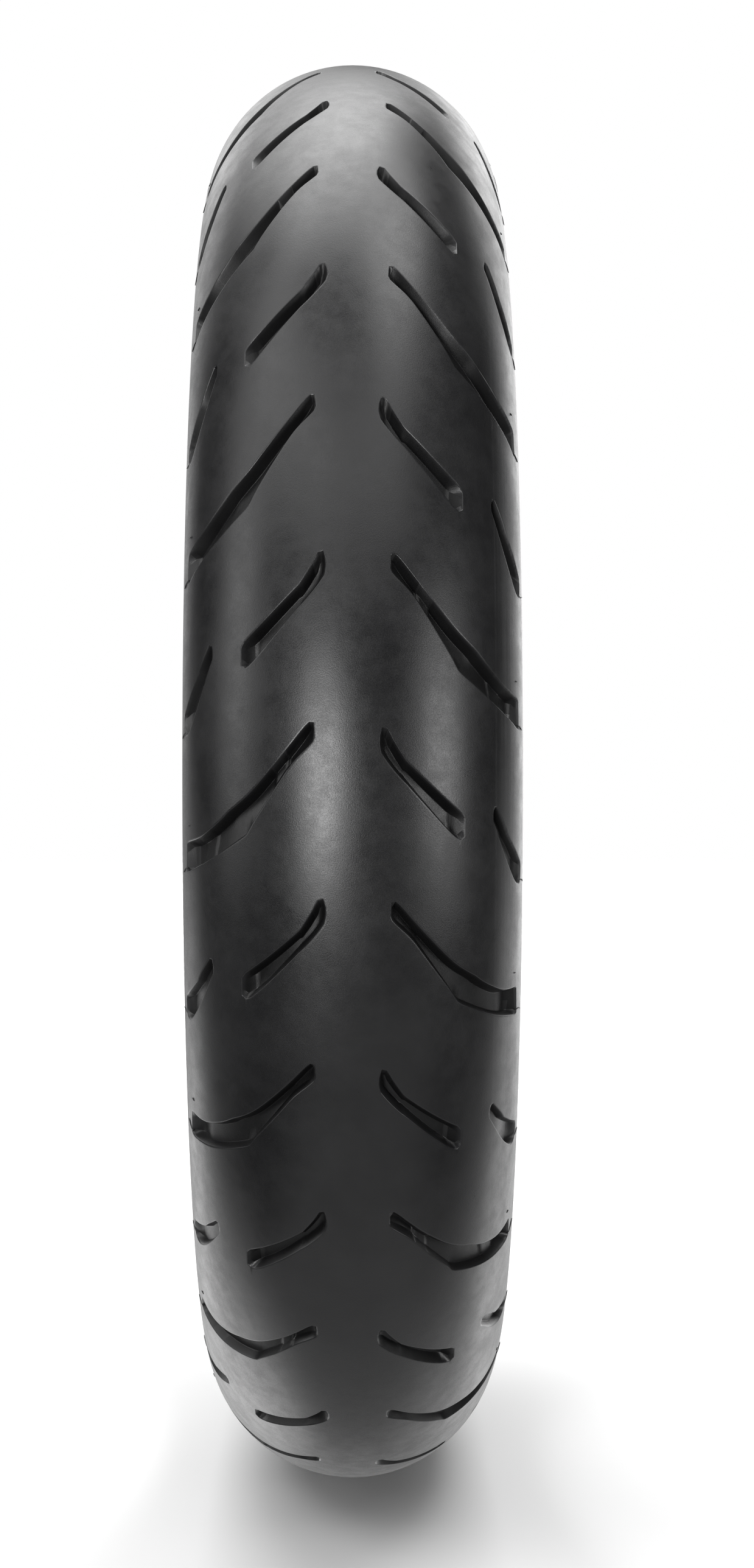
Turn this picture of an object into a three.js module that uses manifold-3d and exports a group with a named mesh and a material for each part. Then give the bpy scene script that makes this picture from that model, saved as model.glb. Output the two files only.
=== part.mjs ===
// A 120/70-17 radial motorcycle tyre, laid up as it is built on the drum: tread, belts, carcass plies turned up
// round two bead cores, inner liner, sidewalls and the hard rubber that meets the rim.
// Millimetres and degrees. The axle lies along Y, the origin is the wheel centre, and the tyre stands on its tread.
import * as THREE from "three";
import { mergeVertices } from "three/addons/utils/BufferGeometryUtils.js";
import Module from "manifold-3d";

// Driving dimensions.
const CROWN_RADIUS = 300; // axle to the middle of the tread
const TREAD_ARC = 60; // radius of the tread's cross-section, and half the tyre's width
const BEAD_RADIUS = 215.9; // 17 inch rim
const RIM_HALF_WIDTH = 44.45; // 3.50 inch between the rim flanges
const GAP = 0.3; // between neighbouring pieces
const CAP_DEPTH = 6; // thickness of the tread rubber at the crown
const EDGE_DEPTH = 4; // and towards the shoulders
const PLY = 0.8;
const GROOVE_DEPTH = 4.2;
const SHOULDER_GROOVE_DEPTH = 3.2; // beyond the middle of the shoulder
const PITCHES = 16; // the tread pattern repeats this often on each side
const LEFT_PHASE = -2.95; // where a left long groove starts, in degrees below +X
const RIGHT_PHASE = LEFT_PHASE + 180 / PITCHES; // and a right one, half a pitch later

// Every ring is a prism of this many flats. Its flats touch the true circle, so flats nest as circles do.
const FLATS = 32;
const FLAT_ANGLE = (2 * Math.PI) / FLATS;
const ARC_CENTRE = CROWN_RADIUS - TREAD_ARC; // radius at which the cross-section's arcs are centred

const radians = (degrees) => (degrees * Math.PI) / 180;

// The cross-section. A point is [y, r]: along the axle, and out from it.

// The tread's outer arc at an angle from the crown. It is drawn as flats that touch the arc.
const OUTER_STEP = 12;
const OUTER_RHO = TREAD_ARC / Math.cos(radians(OUTER_STEP / 2));
function outerPoint(angle, lift = 0) {
  const rho = OUTER_RHO + lift;
  return [rho * Math.sin(radians(angle)), ARC_CENTRE + rho * Math.cos(radians(angle))];
}

// Inside the tread each layer follows an ellipse. All have their corners at the same angles, so that they nest.
const CORNERS = [-84, -60, -36, -12, 12, 36, 60, 84];
function onLayer([halfWidth, height], angle) {
  const corner = (a) => [halfWidth * Math.sin(radians(a)), ARC_CENTRE + height * Math.cos(radians(a))];
  const after = CORNERS.find((a) => a >= angle) ?? CORNERS.at(-1);
  const before = CORNERS[Math.max(0, CORNERS.indexOf(after) - 1)];
  const share = after === before ? 0 : (angle - before) / (after - before);
  const [p, q] = [corner(before), corner(after)];
  return [p[0] + (q[0] - p[0]) * share, p[1] + (q[1] - p[1]) * share];
}

// The points of a layer's line from one angle to another.
function layerLine(size, from, to) {
  const between = CORNERS.filter((a) => a > from && a < to);
  return [from, ...between, to].map((a) => onLayer(size, a));
}

// Layers from the tread's underside inwards, each a pair of ellipses [half width, height above the arc centre].
const UNDER_CAP = [TREAD_ARC - EDGE_DEPTH, TREAD_ARC - CAP_DEPTH];
const EDGE_PLY = 0.7; // plies thin out a little towards the shoulder
function layerUnder([halfWidth, height]) {
  const top = [halfWidth - GAP, height - GAP];
  return { top, bottom: [top[0] - EDGE_PLY, top[1] - PLY] };
}
const BASE = layerUnder(UNDER_CAP);
const CAP_PLY = layerUnder(BASE.bottom);
const OUTER_BELT = layerUnder(CAP_PLY.bottom);
const INNER_BELT = layerUnder(OUTER_BELT.bottom);
const CARCASS = layerUnder(INNER_BELT.bottom).top;

// A band of even thickness between two lines becomes the closed outline of a ring.
const band = (outer, inner) => [...outer, ...[...inner].reverse()];
const mirrored = (outline) => outline.map(([y, r]) => [-y, r]).reverse();

// The bead core is a square bundle of wire.
const CORE = { inner: 33.75, outer: 38.75, bottom: BEAD_RADIUS + 3.9, top: BEAD_RADIUS + 8.9 };

// The path of the carcass: from the end of the left turn-up, round the left core, over the crown, round the right
// core and up again. Its outward side faces the belts at the crown and the core at the bead.
const TURN_UP = [52.2, 241.5];
const rightBead = [
  [48.6, 237.6],
  [CORE.inner - GAP, CORE.top + GAP],
  [CORE.inner - GAP, CORE.bottom - GAP],
  [CORE.outer + GAP, CORE.bottom - GAP],
  [CORE.outer + GAP, CORE.top + GAP],
  TURN_UP,
];
const carcassPath = [...mirrored(rightBead), ...layerLine(CARCASS, -84, 84), ...rightBead];

// A line moved sideways by a distance, with mitred corners. Positive is away from the belts.
function offsetLine(line, distance) {
  const normals = line.slice(1).map(([y, r], i) => {
    const [dy, dr] = [y - line[i][0], r - line[i][1]];
    const length = Math.hypot(dy, dr);
    return [dr / length, -dy / length];
  });
  return line.map(([y, r], i) => {
    const before = normals[Math.max(0, i - 1)];
    const after = normals[Math.min(normals.length - 1, i)];
    const sum = [before[0] + after[0], before[1] + after[1]];
    const scale = (2 * distance) / (sum[0] ** 2 + sum[1] ** 2);
    return [y + sum[0] * scale, r + sum[1] * scale];
  });
}

// A ply turned up round both beads, starting at this distance inside the carcass path.
const ply = (start) => band(offsetLine(carcassPath, start), offsetLine(carcassPath, start + PLY));
const SECOND_PLY = PLY + GAP;
const INSIDE_PLIES = 2 * SECOND_PLY;
const LINER = 1;

// The liner stops at the bead toes, where the chafer takes over.
const LINER_END = [CORE.inner - GAP, CORE.bottom + 2];
const linerPath = [
  ...mirrored([...rightBead.slice(0, 2), LINER_END]),
  ...layerLine(CARCASS, -84, 84),
  ...rightBead.slice(0, 2),
  LINER_END,
];
const liner = band(offsetLine(linerPath, INSIDE_PLIES), offsetLine(linerPath, INSIDE_PLIES + LINER));

// Pieces of the right bead and shoulder. Each is a closed outline.
const TOE = CORE.inner - GAP - INSIDE_PLIES; // how far in the plies reach at the bead
const HEEL = CORE.outer + GAP + INSIDE_PLIES; // and how far out
const SOLE = CORE.bottom - GAP - INSIDE_PLIES; // and how far down
const CHAFER = 0.8;
const CHAFER_TOP = 224;
const FLANGE_TOP = 227.6;
const core = [
  [CORE.inner, CORE.bottom],
  [CORE.outer, CORE.bottom],
  [CORE.outer, CORE.top],
  [CORE.inner, CORE.top],
];
const filler = [
  [CORE.inner + GAP, CORE.top + GAP],
  [CORE.outer - GAP, CORE.top + GAP],
  [49.3, 238.5],
  [48.9, 237.3],
];
const chafer = [
  [TOE, LINER_END[1] - GAP],
  [TOE, SOLE],
  [HEEL, SOLE],
  [HEEL, CHAFER_TOP],
  [HEEL + CHAFER, CHAFER_TOP],
  [HEEL + CHAFER, SOLE - CHAFER],
  [TOE - CHAFER, BEAD_RADIUS],
  [TOE - CHAFER, LINER_END[1] - GAP],
];

// Outside the turned-up plies lie the rim strip and, above the rim flange, the sidewall.
const [turnUpFoot, turnUpEnd] = offsetLine(rightBead, INSIDE_PLIES).slice(-2);
const turnUpSlope = (turnUpEnd[1] - turnUpFoot[1]) / (turnUpEnd[0] - turnUpFoot[0]);
const turnUpAtRadius = (r) => [turnUpFoot[0] + (r - turnUpFoot[1]) / turnUpSlope, r];
const turnUpAtWidth = (y) => [y, turnUpFoot[1] + (y - turnUpFoot[0]) * turnUpSlope];
const STRIP_INSIDE = HEEL + CHAFER + GAP;
const rimStrip = [
  [STRIP_INSIDE, SOLE - CHAFER + GAP],
  [RIM_HALF_WIDTH - 0.6, SOLE - CHAFER + GAP],
  [RIM_HALF_WIDTH, SOLE - CHAFER + 0.9],
  [RIM_HALF_WIDTH, FLANGE_TOP - 0.9],
  [RIM_HALF_WIDTH + 0.5, FLANGE_TOP],
  turnUpAtRadius(FLANGE_TOP),
  turnUpAtWidth(STRIP_INSIDE),
];
const sidewall = [
  turnUpAtRadius(FLANGE_TOP + GAP),
  [RIM_HALF_WIDTH + 0.7, FLANGE_TOP + GAP],
  [50.4, 230.6],
  [56.0, 234.2],
  [59.1, 239.0],
  [TREAD_ARC, 244.3],
  [59.4, 249.6],
  onLayer(BASE.bottom, 77.5),
  onLayer(BASE.bottom, 84),
  turnUpEnd,
];
const CUSHION_TOP = [BASE.bottom[0] - GAP, BASE.bottom[1] - GAP];
const CUSHION_BOTTOM = [CARCASS[0] + GAP, CARCASS[1] + GAP];
const cushion = band(layerLine(CUSHION_TOP, 64, 83), layerLine(CUSHION_BOTTOM, 64, 83));

// Rings.

function signedArea(outline) {
  return outline.reduce((sum, [y, r], i) => {
    const [nextY, nextR] = outline[(i + 1) % outline.length];
    return sum + (y * nextR - nextY * r) / 2;
  }, 0);
}

// Turns an outline about the axle. A lathe's faces point out when its outline has a negative area in (y, r).
function ring(outline) {
  const ordered = signedArea(outline) < 0 ? outline : [...outline].reverse();
  const outOfFlats = 1 / Math.cos(FLAT_ANGLE / 2);
  const points = [...ordered, ordered[0]].map(([y, r]) => new THREE.Vector2(r * outOfFlats, y));
  return new THREE.LatheGeometry(points, FLATS, FLAT_ANGLE / 2);
}

// Grooves. An outline is given by stations from the inner end outwards: the angle across the tread and the angle
// round it of the groove's leading edge, then of its trailing edge, and the depth there.
const LONG_GROOVE = [
  [12.2, 0.0, 12.2, 1.2, GROOVE_DEPTH],
  [27.8, 3.1, 28.6, 5.1, GROOVE_DEPTH],
  [40.8, 5.7, 36.6, 7.3, GROOVE_DEPTH],
  [57.2, 7.5, 57.2, 9.6, SHOULDER_GROOVE_DEPTH],
  [72.2, 8.4, 70.3, 10.4, SHOULDER_GROOVE_DEPTH],
];
const SHORT_GROOVE = [
  [9.2, 0.0, 8.1, 1.7, GROOVE_DEPTH],
  [17.5, 2.4, 15.9, 3.8, GROOVE_DEPTH],
  [38.3, 5.8, 36.9, 7.5, GROOVE_DEPTH],
];
const SHOULDER_GROOVE = [
  [55.0, 5.3, 52.7, 6.3, SHOULDER_GROOVE_DEPTH],
  [61.4, 7.6, 60.0, 9.0, SHOULDER_GROOVE_DEPTH],
  [75.6, 9.9, 73.0, 11.6, SHOULDER_GROOVE_DEPTH],
];

// A point on the faceted tread, lifted off it along the cross-section's radius.
function treadPoint(side, across, round, lift) {
  const flats = Math.round(radians(round) / FLAT_ANGLE);
  const offFlat = radians(round) - flats * FLAT_ANGLE;
  const rho = TREAD_ARC + lift;
  const y = side * rho * Math.sin(radians(across));
  const r = (ARC_CENTRE + rho * Math.cos(radians(across))) / Math.cos(offFlat);
  return [r * Math.cos(radians(round)), y, -r * Math.sin(radians(round))];
}

// A closed strip that stands proud of the tread and reaches down to the groove's floor.
function grooveCutter(stations, side, phase) {
  const proud = 3;
  const position = [];
  for (const [leadAcross, leadRound, trailAcross, trailRound, depth] of stations) {
    position.push(
      ...treadPoint(side, leadAcross, phase + leadRound, proud),
      ...treadPoint(side, trailAcross, phase + trailRound, proud),
      ...treadPoint(side, trailAcross, phase + trailRound, -depth),
      ...treadPoint(side, leadAcross, phase + leadRound, -depth),
    );
  }
  const index = [0, 1, 2, 0, 2, 3];
  for (let s = 0; s < stations.length - 1; s++) {
    for (let corner = 0; corner < 4; corner++) {
      const [a, b] = [4 * s + corner, 4 * s + ((corner + 1) % 4)];
      index.push(a, a + 4, b, b, a + 4, b + 4);
    }
  }
  const last = 4 * (stations.length - 1);
  index.push(last, last + 2, last + 1, last, last + 3, last + 2);
  if (side > 0) index.reverse();
  const cutter = new THREE.BufferGeometry();
  cutter.setAttribute("position", new THREE.Float32BufferAttribute(position, 3));
  cutter.setIndex(index);
  return cutter;
}

const wasm = await Module();
wasm.setup();

function solid(geometry) {
  const bare = geometry.clone();
  bare.deleteAttribute("normal");
  bare.deleteAttribute("uv");
  const merged = mergeVertices(bare);
  const vertProperties = new Float32Array(merged.getAttribute("position").array);
  const triVerts = new Uint32Array(merged.index.array);
  return new wasm.Manifold(new wasm.Mesh({ numProp: 3, vertProperties, triVerts }));
}

function geometryOf(manifold) {
  const mesh = manifold.getMesh();
  const geometry = new THREE.BufferGeometry();
  geometry.setAttribute("position", new THREE.Float32BufferAttribute(mesh.vertProperties, 3));
  geometry.setIndex([...mesh.triVerts]);
  geometry.computeVertexNormals();
  return geometry;
}

// The tread rubber, with its long grooves between broken ones of a short and a shoulder groove.
function grooveTread() {
  const edge = 80.5;
  const outer = [outerPoint(-edge)];
  for (let angle = -78; angle <= 78; angle += OUTER_STEP) outer.push(outerPoint(angle));
  outer.push(outerPoint(edge));
  let tread = solid(ring(band(outer, layerLine(UNDER_CAP, -76.5, 76.5))));
  const pitch = 360 / PITCHES;
  for (const [side, start] of [[-1, LEFT_PHASE], [1, RIGHT_PHASE]]) {
    for (let i = 0; i < PITCHES; i++) {
      const long = start + i * pitch;
      const short = long + pitch / 2;
      tread = tread
        .subtract(solid(grooveCutter(LONG_GROOVE, side, long)))
        .subtract(solid(grooveCutter(SHORT_GROOVE, side, short)))
        .subtract(solid(grooveCutter(SHOULDER_GROOVE, side, short)));
    }
  }
  return geometryOf(tread);
}

// Materials.

const matte = (color, roughness) => new THREE.MeshStandardMaterial({ color, roughness, metalness: 0 });
const treadRubber = matte(0x2b2b2c, 0.5);
const sidewallRubber = matte(0x303031, 0.55);
const baseRubber = matte(0x242425, 0.7);
const linerRubber = matte(0x1d1d1e, 0.4);
const aramid = matte(0xb99a4a, 0.8);
const nylon = matte(0x8c8778, 0.8);
const rayon = matte(0x6f675c, 0.85);
const chaferFabric = matte(0x3a3835, 0.85);
const beadWire = new THREE.MeshStandardMaterial({ color: 0xb08d57, roughness: 0.35, metalness: 1 });

// The tyre.

const tyre = new THREE.Group();

function add(name, geometry, material) {
  const mesh = new THREE.Mesh(geometry, material);
  mesh.name = name;
  tyre.add(mesh);
}

function addPair(name, outline, material) {
  add(name + "_left", ring(mirrored(outline)), material);
  add(name + "_right", ring(outline), material);
}

const crownLayer = ({ top, bottom }, edge) => ring(band(layerLine(top, -edge, edge), layerLine(bottom, -edge, edge)));

add("tread_cap", grooveTread(), treadRubber);
add("tread_base", crownLayer(BASE, 76), baseRubber);
add("jointless_cap_ply", crownLayer(CAP_PLY, 62), nylon);
add("outer_belt", crownLayer(OUTER_BELT, 60), aramid);
add("inner_belt", crownLayer(INNER_BELT, 60), aramid);
add("outer_carcass_ply", ring(ply(0)), rayon);
add("inner_carcass_ply", ring(ply(SECOND_PLY)), rayon);
add("inner_liner", ring(liner), linerRubber);
addPair("sidewall", sidewall, sidewallRubber);
addPair("shoulder_cushion", cushion, baseRubber);
addPair("bead_filler", filler, baseRubber);
addPair("bead_core", core, beadWire);
addPair("chafer", chafer, chaferFabric);
addPair("rim_strip", rimStrip, sidewallRubber);

export default tyre;
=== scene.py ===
"""The looks of a 120/70-17 motorcycle tyre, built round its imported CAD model.

The tyre's axle lies along Y and its centre is the origin. Shapes are worked out in millimetres and
degrees and stored in metres. A point of the tread is given by its angle across the crown ("across",
0 at the crown) and its angle round the axle ("around", 0 at +X, growing downwards).
"""

import math

import bmesh
import bpy
import numpy as np
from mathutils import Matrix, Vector, geometry


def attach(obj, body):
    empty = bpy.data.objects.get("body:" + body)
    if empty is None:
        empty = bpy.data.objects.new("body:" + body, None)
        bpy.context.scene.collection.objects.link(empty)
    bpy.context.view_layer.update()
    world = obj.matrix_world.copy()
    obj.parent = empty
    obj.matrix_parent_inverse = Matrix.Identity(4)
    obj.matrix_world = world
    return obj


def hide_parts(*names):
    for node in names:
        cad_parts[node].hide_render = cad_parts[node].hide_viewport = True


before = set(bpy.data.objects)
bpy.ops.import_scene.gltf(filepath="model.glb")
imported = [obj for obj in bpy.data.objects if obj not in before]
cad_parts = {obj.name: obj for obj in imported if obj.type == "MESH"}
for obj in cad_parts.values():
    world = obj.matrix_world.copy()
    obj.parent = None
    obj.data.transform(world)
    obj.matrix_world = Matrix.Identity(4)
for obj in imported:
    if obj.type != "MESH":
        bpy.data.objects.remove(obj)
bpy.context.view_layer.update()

MM = 0.001
CROWN_RADIUS = 300.0
TREAD_ARC = 60.0
ARC_CENTRE = CROWN_RADIUS - TREAD_ARC

# ---- meshes


def smooth_mesh(name, vertices, faces, material, merge=0.0, sharp=180):
    """A mesh piece from points in millimetres, riding on the tyre's one body."""
    mesh = bpy.data.meshes.new(name)
    mesh.from_pydata((np.asarray(vertices, float) * MM).tolist(), [], faces)
    if merge:
        work = bmesh.new()
        work.from_mesh(mesh)
        bmesh.ops.remove_doubles(work, verts=work.verts, dist=merge * MM)
        work.to_mesh(mesh)
        work.free()
    mesh.shade_smooth()
    mesh.set_sharp_from_angle(angle=math.radians(sharp))
    mesh.validate()
    mesh.materials.append(material)
    piece = bpy.data.objects.new(name, mesh)
    bpy.context.scene.collection.objects.link(piece)
    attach(piece, "root")
    return piece


def spline(points, step):
    """A smooth line through points [y, r], sampled about every step millimetres."""
    points = np.asarray(points, float)
    padded = np.vstack([2 * points[0] - points[1], points, 2 * points[-1] - points[-2]])
    out = []
    for i in range(len(points) - 1):
        a, b, c, d = padded[i : i + 4]
        count = max(1, round(np.linalg.norm(c - b) / step))
        for t in np.arange(count) / count:
            low_powers = 2 * b + (c - a) * t + (2 * a - 5 * b + 4 * c - d) * t**2
            out.append(0.5 * (low_powers + (3 * b - a - 3 * c + d) * t**3))
    out.append(points[-1])
    return np.array(out)


def signed_area(outline):
    y, r = np.asarray(outline).T
    return float(np.sum(y * np.roll(r, -1) - np.roll(y, -1) * r) / 2)


def filleted(line, radius, steps=3, closed=True):
    """A line with its corners rounded, as far as its sides allow. An open line keeps its ends."""
    line = np.asarray(line, float)
    out = []
    for i, corner in enumerate(line):
        if not closed and i in (0, len(line) - 1):
            out.append(corner)
            continue
        ends = []
        for other in (line[i - 1], line[(i + 1) % len(line)]):
            side = other - corner
            ends.append(corner + side * min(radius / np.linalg.norm(side), 0.45))
        for t in np.linspace(0, 1, steps + 1):
            out.append(ends[0] * (1 - t) ** 2 + corner * 2 * t * (1 - t) + ends[1] * t**2)
    return np.array(out)


def offset_line(line, distance):
    """An open line moved sideways with mitred corners. Positive is away from the belts."""
    line = np.asarray(line, float)
    steps = np.diff(line, axis=0)
    normals = np.stack([steps[:, 1], -steps[:, 0]], -1)
    normals /= np.linalg.norm(normals, axis=1)[:, None]
    total = np.vstack([normals[:1], normals]) + np.vstack([normals, normals[-1:]])
    return line + total * (2 * distance / (total**2).sum(1))[:, None]


def band(line, other):
    """The closed outline between two open lines that run the same way."""
    return np.concatenate([line, other[::-1]])


def mirrored(outline):
    """The same outline on the other side of the tyre, still running the same way round its section."""
    return np.asarray(outline, float)[::-1] * (-1, 1)


def revolve(outline, around, relief=None, shear=0.0):
    """Vertices and outward faces of a closed outline [y, r] turned about the axle, at angles in degrees.

    shear turns each point of the outline further round. relief(angle, y, r) is how far it stands out.
    """
    outline = np.asarray(outline, float)
    shear = np.broadcast_to(shear, len(outline))
    if signed_area(outline) < 0:
        outline, shear = outline[::-1], shear[::-1]
    n, segments = len(outline), len(around)
    angles = np.asarray(around)[:, None] + shear
    sections = np.broadcast_to(outline, (segments, n, 2))
    if relief is not None:
        tangent = np.roll(outline, -1, axis=0) - np.roll(outline, 1, axis=0)
        normal = np.stack([tangent[:, 1], -tangent[:, 0]], -1)
        normal /= np.linalg.norm(normal, axis=1)[:, None]
        sections = sections + normal * relief(angles, sections[..., 0], sections[..., 1])[..., None]
    turn = np.radians(angles)
    y, r = sections[..., 0], sections[..., 1]
    vertices = np.stack([r * np.cos(turn), y, -r * np.sin(turn)], -1).reshape(-1, 3)
    faces = []
    for i in range(segments):
        a, b = i * n, (i + 1) % segments * n
        for j in range(n):
            k = (j + 1) % n
            faces.append((a + j, a + k, b + k, b + j))
    return vertices, faces


def ring(name, outline, material, slot, segments=144, sharp=40):
    """A plain ring that stands for the CAD node of the same name."""
    around = np.arange(segments) * 360 / segments
    vertices, faces = revolve(outline, around)
    piece = smooth_mesh(name + "_smooth", vertices, faces, material, sharp=sharp)
    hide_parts(name)
    return piece


def ring_pair(name, outline, material, slot, **settings):
    ring(name + "_left", mirrored(outline), material, slot, **settings)
    ring(name + "_right", outline, material, slot, **settings)


# ---- tread pattern

PITCHES = 16
PITCH = 360 / PITCHES
LEFT_PHASE = -2.95
RIGHT_PHASE = LEFT_PHASE + PITCH / 2
LEFT_SHIFT = -0.25  # of the left side's grooves, in degrees
TREAD_EDGE = 80.5
MM_ACROSS = math.radians(TREAD_ARC)
MM_AROUND = 4.95  # per degree, half way out across the tread

# Groove edges from the inner end outwards, as (across, around). The leading edge is the upper one at +X.
LONG_LEAD = [
    (12.3, 0.1), (13.4, -0.05), (15.3, 0.25), (20.6, 1.53), (27.8, 3.12), (35.0, 4.6), (40.8, 5.45),
    (44.8, 5.95), (46.7, 6.3), (51.0, 6.9), (56.5, 7.55), (60.5, 7.97), (65.8, 8.3), (71.0, 8.55),
    (72.7, 8.66), (72.9, 8.85),
]
LONG_TRAIL = [
    (12.0, 1.0), (12.3, 1.35), (19.0, 2.55), (23.0, 3.66), (28.6, 5.2), (34.0, 6.68), (36.0, 7.35),
    (36.4, 7.45), (37.4, 7.62), (41.4, 8.1), (50.0, 9.1), (58.4, 9.95), (66.9, 10.6), (70.1, 10.88),
    (73.4, 11.05), (73.8, 10.9),
]
SHORT_LEAD = [
    (8.55, 0.75), (9.1, 0.16), (10.4, 0.05), (11.5, 0.25), (12.6, 0.8), (16.9, 2.15), (17.4, 2.28),
    (18.0, 2.38), (22.2, 3.15), (28.6, 4.27), (35.0, 5.3), (38.0, 5.75), (38.9, 6.1),
]
SHORT_TRAIL = [
    (8.45, 1.2), (8.6, 1.6), (9.6, 2.0), (12.7, 2.8), (15.4, 3.4), (15.8, 3.5), (17.3, 3.75),
    (17.7, 3.85), (23.8, 5.15), (29.4, 6.3), (33.0, 7.0), (36.4, 7.55), (38.2, 7.6), (38.9, 7.3),
]
SHOULDER_LEAD = [
    (53.4, 5.5), (54.4, 5.3), (55.8, 5.6), (59.1, 6.45), (61.3, 7.0), (62.8, 7.5), (63.2, 7.62),
    (63.7, 7.72), (70.6, 9.0), (75.6, 9.85), (76.8, 10.05), (77.2, 10.4),
]
SHOULDER_TRAIL = [
    (52.8, 6.0), (52.8, 6.55), (54.3, 6.95), (57.5, 8.15), (62.3, 9.7), (67.4, 10.95), (70.4, 11.5),
    (73.8, 11.8), (76.0, 11.7), (76.9, 11.3),
]
# A tile's two long sides, which slant between the grooves of neighbouring pitches.
TILE_SIDE = [
    (0, -4.0), (12, -3.6), (24, -1.6), (38, 0.8), (57, 2.5), (70, 4.0), (TREAD_EDGE, 5.0),
]

# A groove's walls: a rounded lip, then a slope down to the foot. Each groove has the distances from its
# edges to the feet of its leading wall, its trailing wall, its inner end and its outer end.
LIP_AT = [0.0, 0.06, 0.26]
LIP_SHARE = [0.0, 0.006, 0.06]  # of the groove's depth, reached at each of those distances
BELOW_LIP = 0.36  # where the row under the lip runs
FOOT_SPREAD = 0.14  # how far the rows beside a wall's foot are from it
WALL_ROOM = 0.96  # share of a groove's width that its two walls may take
LONG_FEET = (2.1, 1.4, 1.6, 2.3)
SHORT_FEET = (2.0, 1.85, 1.8, 3.9)
SHOULDER_FEET = (1.3, 1.3, 1.4, 4.6)
# The long grooves' floors rise towards the trailing edge, by this share of their depth.
LONG_TILT = 0.26
TILT_FADE = (61, 68)  # the angles across between which that rise dies out
# Floors: the depth at the inner end, its change, and the angles across between which it changes.
LONG_FLOOR = (2.6, 1.6, 12.0, 17.0)
SHORT_FLOOR = (3.6, 0.6, 8.6, 12.5)
SHOULDER_FLOOR = (3.3, -0.5, 57.0, 64.0)
# The wear bar and the low step of a barred long groove: angles across, height and edge.
WEAR_BAR, BAR_HEIGHT, BAR_EDGE = (21.8, 26.6), 1.4, 0.5
OUTER_STEP, STEP_HEIGHT, STEP_EDGE = (54.6, 63.0), 0.35, 0.3
STEP_SPREAD = 0.3  # how far the rows beside a step in the floor are from it
STEP_CLEARANCE = 0.5  # other rows keep this far from those
MIDDLE_SAMPLES = 400
SLANT_SAMPLE = 0.01  # share of a line's length, to each side, over which its direction is taken
MOST_SLANT = 1.8
ALONG_SPACING = 1.9
SUPPORT_OFFSET = 0.45
SUPPORT_SPACING = 0.95
SUPPORT_CLEARANCE = 0.8  # share of the offset that a support point keeps from every rim
SURFACE_SPACING = 4.0
SURFACE_ROW = 0.87  # distance between rows of surface points, as a share of that spacing
SURFACE_CLEARANCE = 0.55  # and how far they keep from outlines, as such a share
SIDE_POINTS = 29
SLIVER = 1e-3  # triangles with less than half this area are dropped
EDGE_STEPS = 16  # of each pitch, along the tread's edge
# Painted shade: the walls picked by these settings get a copy of the tread rubber with a weaker specular.
# A wall counts as a leading one when its normal leans this far around. It counts as a groove's outer end
# when it is within END_REACH of the end's angle across and leans further inwards than the end's lean.
LEADING_LEAN = 0.45
LONG_END, LONG_END_LEAN = 72.3, 0.7
SHORT_END, SHORT_END_LEAN = 37.2, 0.5
END_REACH = 2.1
SHALLOWEST, DEEPEST = 0.2, 4.4  # depths between which a face can count as a wall
# The tread's underside: how far across it reaches, its rows, and the thickness at the crown and what
# it would lose by 90 degrees.
UNDER_REACH = 76.5
UNDER_ROWS = 13
CAP_THICKNESS, CAP_THINNING = 6.0, 2.0


def flat(points):
    """Tread angles laid out flat, in millimetres."""
    return np.asarray(points, float) * (MM_ACROSS, MM_AROUND)


def rounded(line, times=2):
    """Chaikin's corner cutting, which keeps the ends."""
    for _ in range(times):
        cut = [line[0]]
        for a, b in zip(line[:-1], line[1:]):
            cut += [a * 0.75 + b * 0.25, a * 0.25 + b * 0.75]
        cut.append(line[-1])
        line = np.array(cut)
    return line


def along(line, shares):
    """Points at shares of a line's length."""
    steps = np.linalg.norm(np.diff(line, axis=0), axis=1)
    at = np.concatenate([[0], np.cumsum(steps)])
    at /= at[-1]
    return np.stack([np.interp(shares, at, line[:, i]) for i in (0, 1)], -1)


def line_distance(points, line):
    """Distance from each point to the nearest part of a line."""
    a, b = line[:-1], line[1:]
    side = b - a
    length2 = np.maximum((side**2).sum(-1), 1e-12)
    t = ((points[:, None] - a) * side).sum(-1) / length2
    nearest = a + np.clip(t, 0, 1)[..., None] * side
    return np.linalg.norm(points[:, None] - nearest, axis=-1).min(1)


def edge_distance(points, outline):
    """Distance from each point to the nearest side of a closed outline."""
    return line_distance(points, np.vstack([outline, outline[:1]]))


def inside(points, outline):
    """Whether each point lies inside a closed outline."""
    x, y = points[:, 0, None], points[:, 1, None]
    x1, y1 = outline.T
    x2, y2 = np.roll(outline, -1, axis=0).T
    crosses = (y1 > y) != (y2 > y)
    with np.errstate(divide="ignore", invalid="ignore"):
        at = x1 + (y - y1) / (y2 - y1) * (x2 - x1)
    return (crosses & (x < at)).sum(1) % 2 == 1


def smooth_step(x, low, high):
    t = np.clip((x - low) / (high - low), 0, 1)
    return t * t * (3 - 2 * t)


def block(x, low, high, edge):
    """1 between low and high, falling to 0 over an edge."""
    rise = smooth_step(x, low - edge / 2, low + edge / 2)
    return rise * (1 - smooth_step(x, high - edge / 2, high + edge / 2))


def floor_depth(floor, across, row_across, bars):
    """The wear bar crosses its groove squarely, so it goes by the angle across at each row's middle."""
    depth, change, start, end = floor
    depth = depth + change * smooth_step(across, start, end)
    if bars:
        depth -= BAR_HEIGHT * block(row_across, *WEAR_BAR, BAR_EDGE)
        depth -= STEP_HEIGHT * block(across, *OUTER_STEP, STEP_EDGE)
    return depth
def wall_steps(foot, slant, room):
    """Distances from an edge, along a slanting line, at which a wall turns, squeezed into its room."""
    lip = np.array(LIP_AT + [BELOW_LIP])
    rest = np.array([foot - FOOT_SPREAD, foot, foot + FOOT_SPREAD]) * slant
    squeeze = min(1, (room - lip[-1]) / (rest[-1] - lip[-1]))
    return np.concatenate([lip, lip[-1] + (rest - lip[-1]) * squeeze])


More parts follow.
